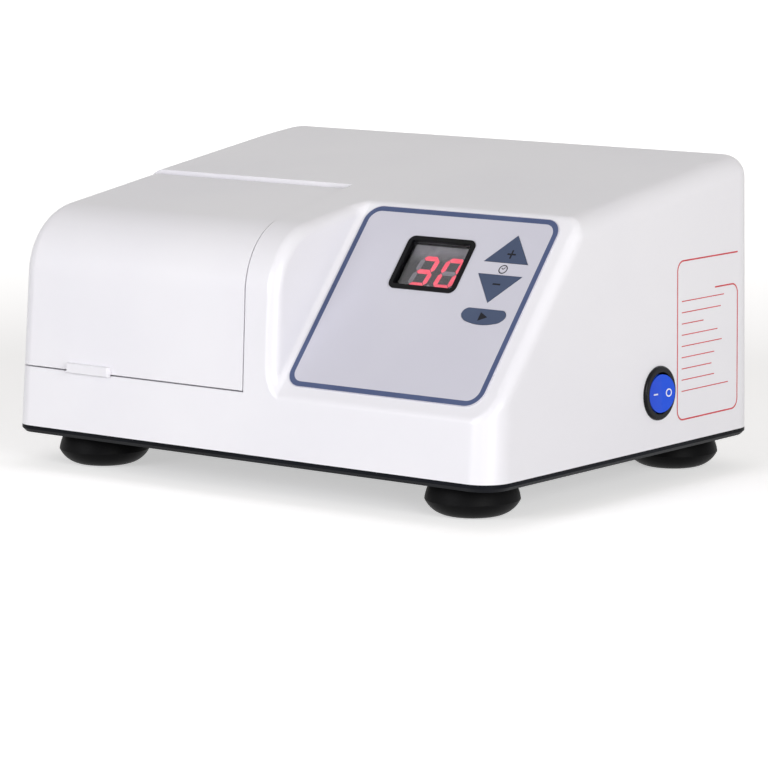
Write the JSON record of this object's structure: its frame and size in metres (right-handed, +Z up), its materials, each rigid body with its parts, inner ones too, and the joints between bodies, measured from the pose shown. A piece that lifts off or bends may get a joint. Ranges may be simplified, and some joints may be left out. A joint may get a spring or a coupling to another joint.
{
  "type": "dental amalgamator",
  "caption": "Bench-top dental capsule mixer with a hinged lid over the mixing chamber, a sloping panel with a digital display and keys, a round rocker switch and rubber feet.",
  "frame": {"origin": "on the table, under the middle of the housing", "axes": "+X to the right, +Y to the back, +Z up; the panel and lid face -Y"},
  "size_m": [0.243, 0.1838, 0.1264],
  "materials": {
    "white_plastic": "satin moulded",
    "black_plate": "satin black",
    "black_rubber": "matte",
    "steel_screw": "zinc plated",
    "tray_plastic": "fine grain",
    "seal_rubber": "matte",
    "pin_steel": "bright",
    "magnet_nickel": "nickel plated",
    "reed_body": "moulded",
    "overlay_grey": "printed film",
    "key_blue": "printed film",
    "switch_black": "moulded",
    "display_black": "satin",
    "display_glass": "smoked, clear",
    "module_dark": "moulded",
    "segment_red": "lit",
    "segment_grey": "unlit",
    "board_green": "solder resist",
    "chip_black": "moulded",
    "nylon": "moulded",
    "relay_plastic": "moulded",
    "core_steel": "laminated",
    "winding_copper": "enamelled wire",
    "inlet_black": "moulded",
    "pin_brass": "plated",
    "fuse_glass": "clear with plated caps",
    "rocker_navy": "glossy",
    "rocker_blue": "glossy",
    "cast_aluminium": "die cast",
    "bush_bronze": "sintered",
    "shaft_steel": "ground",
    "commutator_copper": "turned",
    "carbon": "pressed",
    "fan_plastic": "moulded",
    "bracket_zinc": "zinc plated",
    "bearing_chrome": "polished",
    "arm_aluminium": "machined",
    "spring_steel": "spring temper"
  },
  "bodies": {
    "base": {"base_plate": "black_plate", "housing_shell": "white_plastic", "foot_front_left": "black_rubber", "foot_front_right": "black_rubber", "foot_rear_left": "black_rubber", "foot_rear_right": "black_rubber", "foot_screws": "steel_screw", "base_screws": "steel_screw", "mixing_tray": "tray_plastic", "shaft_seal": "seal_rubber", "lid_hinge_pin": "pin_steel", "reed_switch": "reed_body", "panel_overlay": "overlay_grey", "tact_switches": "switch_black", "display_bezel": "display_black", "display_window": "display_glass", "display_module": "module_dark", "lit_segments": "segment_red", "dark_segments": "segment_grey", "control_board": "board_green", "control_chips": "chip_black", "board_standoffs": "nylon", "board_screws": "steel_screw", "power_board": "board_green", "power_board_parts": "relay_plastic", "transformer_core": "core_steel", "transformer_winding": "winding_copper", "chassis_screws": "steel_screw", "mains_inlet": "inlet_black", "inlet_pins": "pin_brass", "inlet_screws": "steel_screw", "rocker_housing": "rocker_navy", "rocker_terminals": "pin_brass", "motor_stator": "core_steel", "field_coils": "winding_copper", "motor_front_bell": "cast_aluminium", "motor_rear_bell": "cast_aluminium", "front_bush": "bush_bronze", "rear_bush": "bush_bronze", "carbon_brushes": "carbon", "motor_bracket": "bracket_zinc", "restraint_springs": "spring_steel"},
    "lid": {"lid": "white_plastic", "lid_magnet": "magnet_nickel"},
    "plus_key": {"key_plus": "key_blue"},
    "minus_key": {"key_minus": "key_blue"},
    "start_key": {"key_start": "key_blue"},
    "switch_rocker": {"rocker": "rocker_blue"},
    "drawer": {"fuse_drawer": "inlet_black", "fuse": "fuse_glass"},
    "rotor": {"motor_shaft": "shaft_steel", "armature": "core_steel", "commutator": "commutator_copper", "cooling_fan": "fan_plastic", "skew_bush": "shaft_steel", "bearing_inner_ring": "bearing_chrome"},
    "arm": {"bearing_outer_ring": "bearing_chrome", "bearing_balls": "bearing_chrome", "mixing_arm": "arm_aluminium", "capsule_clip": "spring_steel"}
  },
  "joints": [
    {"name": "lid_hinge", "type": "hinge", "parent": "base", "child": "lid", "pos_m": [-0.06, -0.0127, 0.11009], "axis": [-1, 0, 0], "range_deg": [0, 82]},
    {"name": "plus_key_press", "type": "slide", "parent": "base", "child": "plus_key", "axis": [0, 0.7649, -0.6441], "range_m": [0, 0.00035], "stiffness_N_per_m": 1500, "springref_m": -0.0002},
    {"name": "minus_key_press", "type": "slide", "parent": "base", "child": "minus_key", "axis": [0, 0.7649, -0.6441], "range_m": [0, 0.00035], "stiffness_N_per_m": 1500, "springref_m": -0.0002},
    {"name": "start_key_press", "type": "slide", "parent": "base", "child": "start_key", "axis": [0, 0.7649, -0.6441], "range_m": [0, 0.00035], "stiffness_N_per_m": 1500, "springref_m": -0.0002},
    {"name": "rocker_tilt", "type": "hinge", "parent": "base", "child": "switch_rocker", "pos_m": [0.11721, 0.02, 0.03808], "axis": [-0.0087, 0, 1], "range_deg": [0, 15]},
    {"name": "fuse_drawer_pull", "type": "slide", "parent": "base", "child": "drawer", "axis": [0, 1, 0.0087], "range_m": [0, 0.024]},
    {"name": "rotor_spin", "type": "hinge", "parent": "base", "child": "rotor", "pos_m": [-0.062, 0, 0.062], "axis": [0, 1, 0], "continuous": true},
    {"name": "arm_wobble", "type": "hinge", "parent": "rotor", "child": "arm", "pos_m": [-0.062, -0.046, 0.062], "axis": [0, 0.9925, 0.1219], "continuous": true, "deforming": ["restraint_springs"]}
  ],
  "couplings": [
    {"joint": "arm_wobble", "follows": "rotor_spin", "ratio": -1}
  ]
}
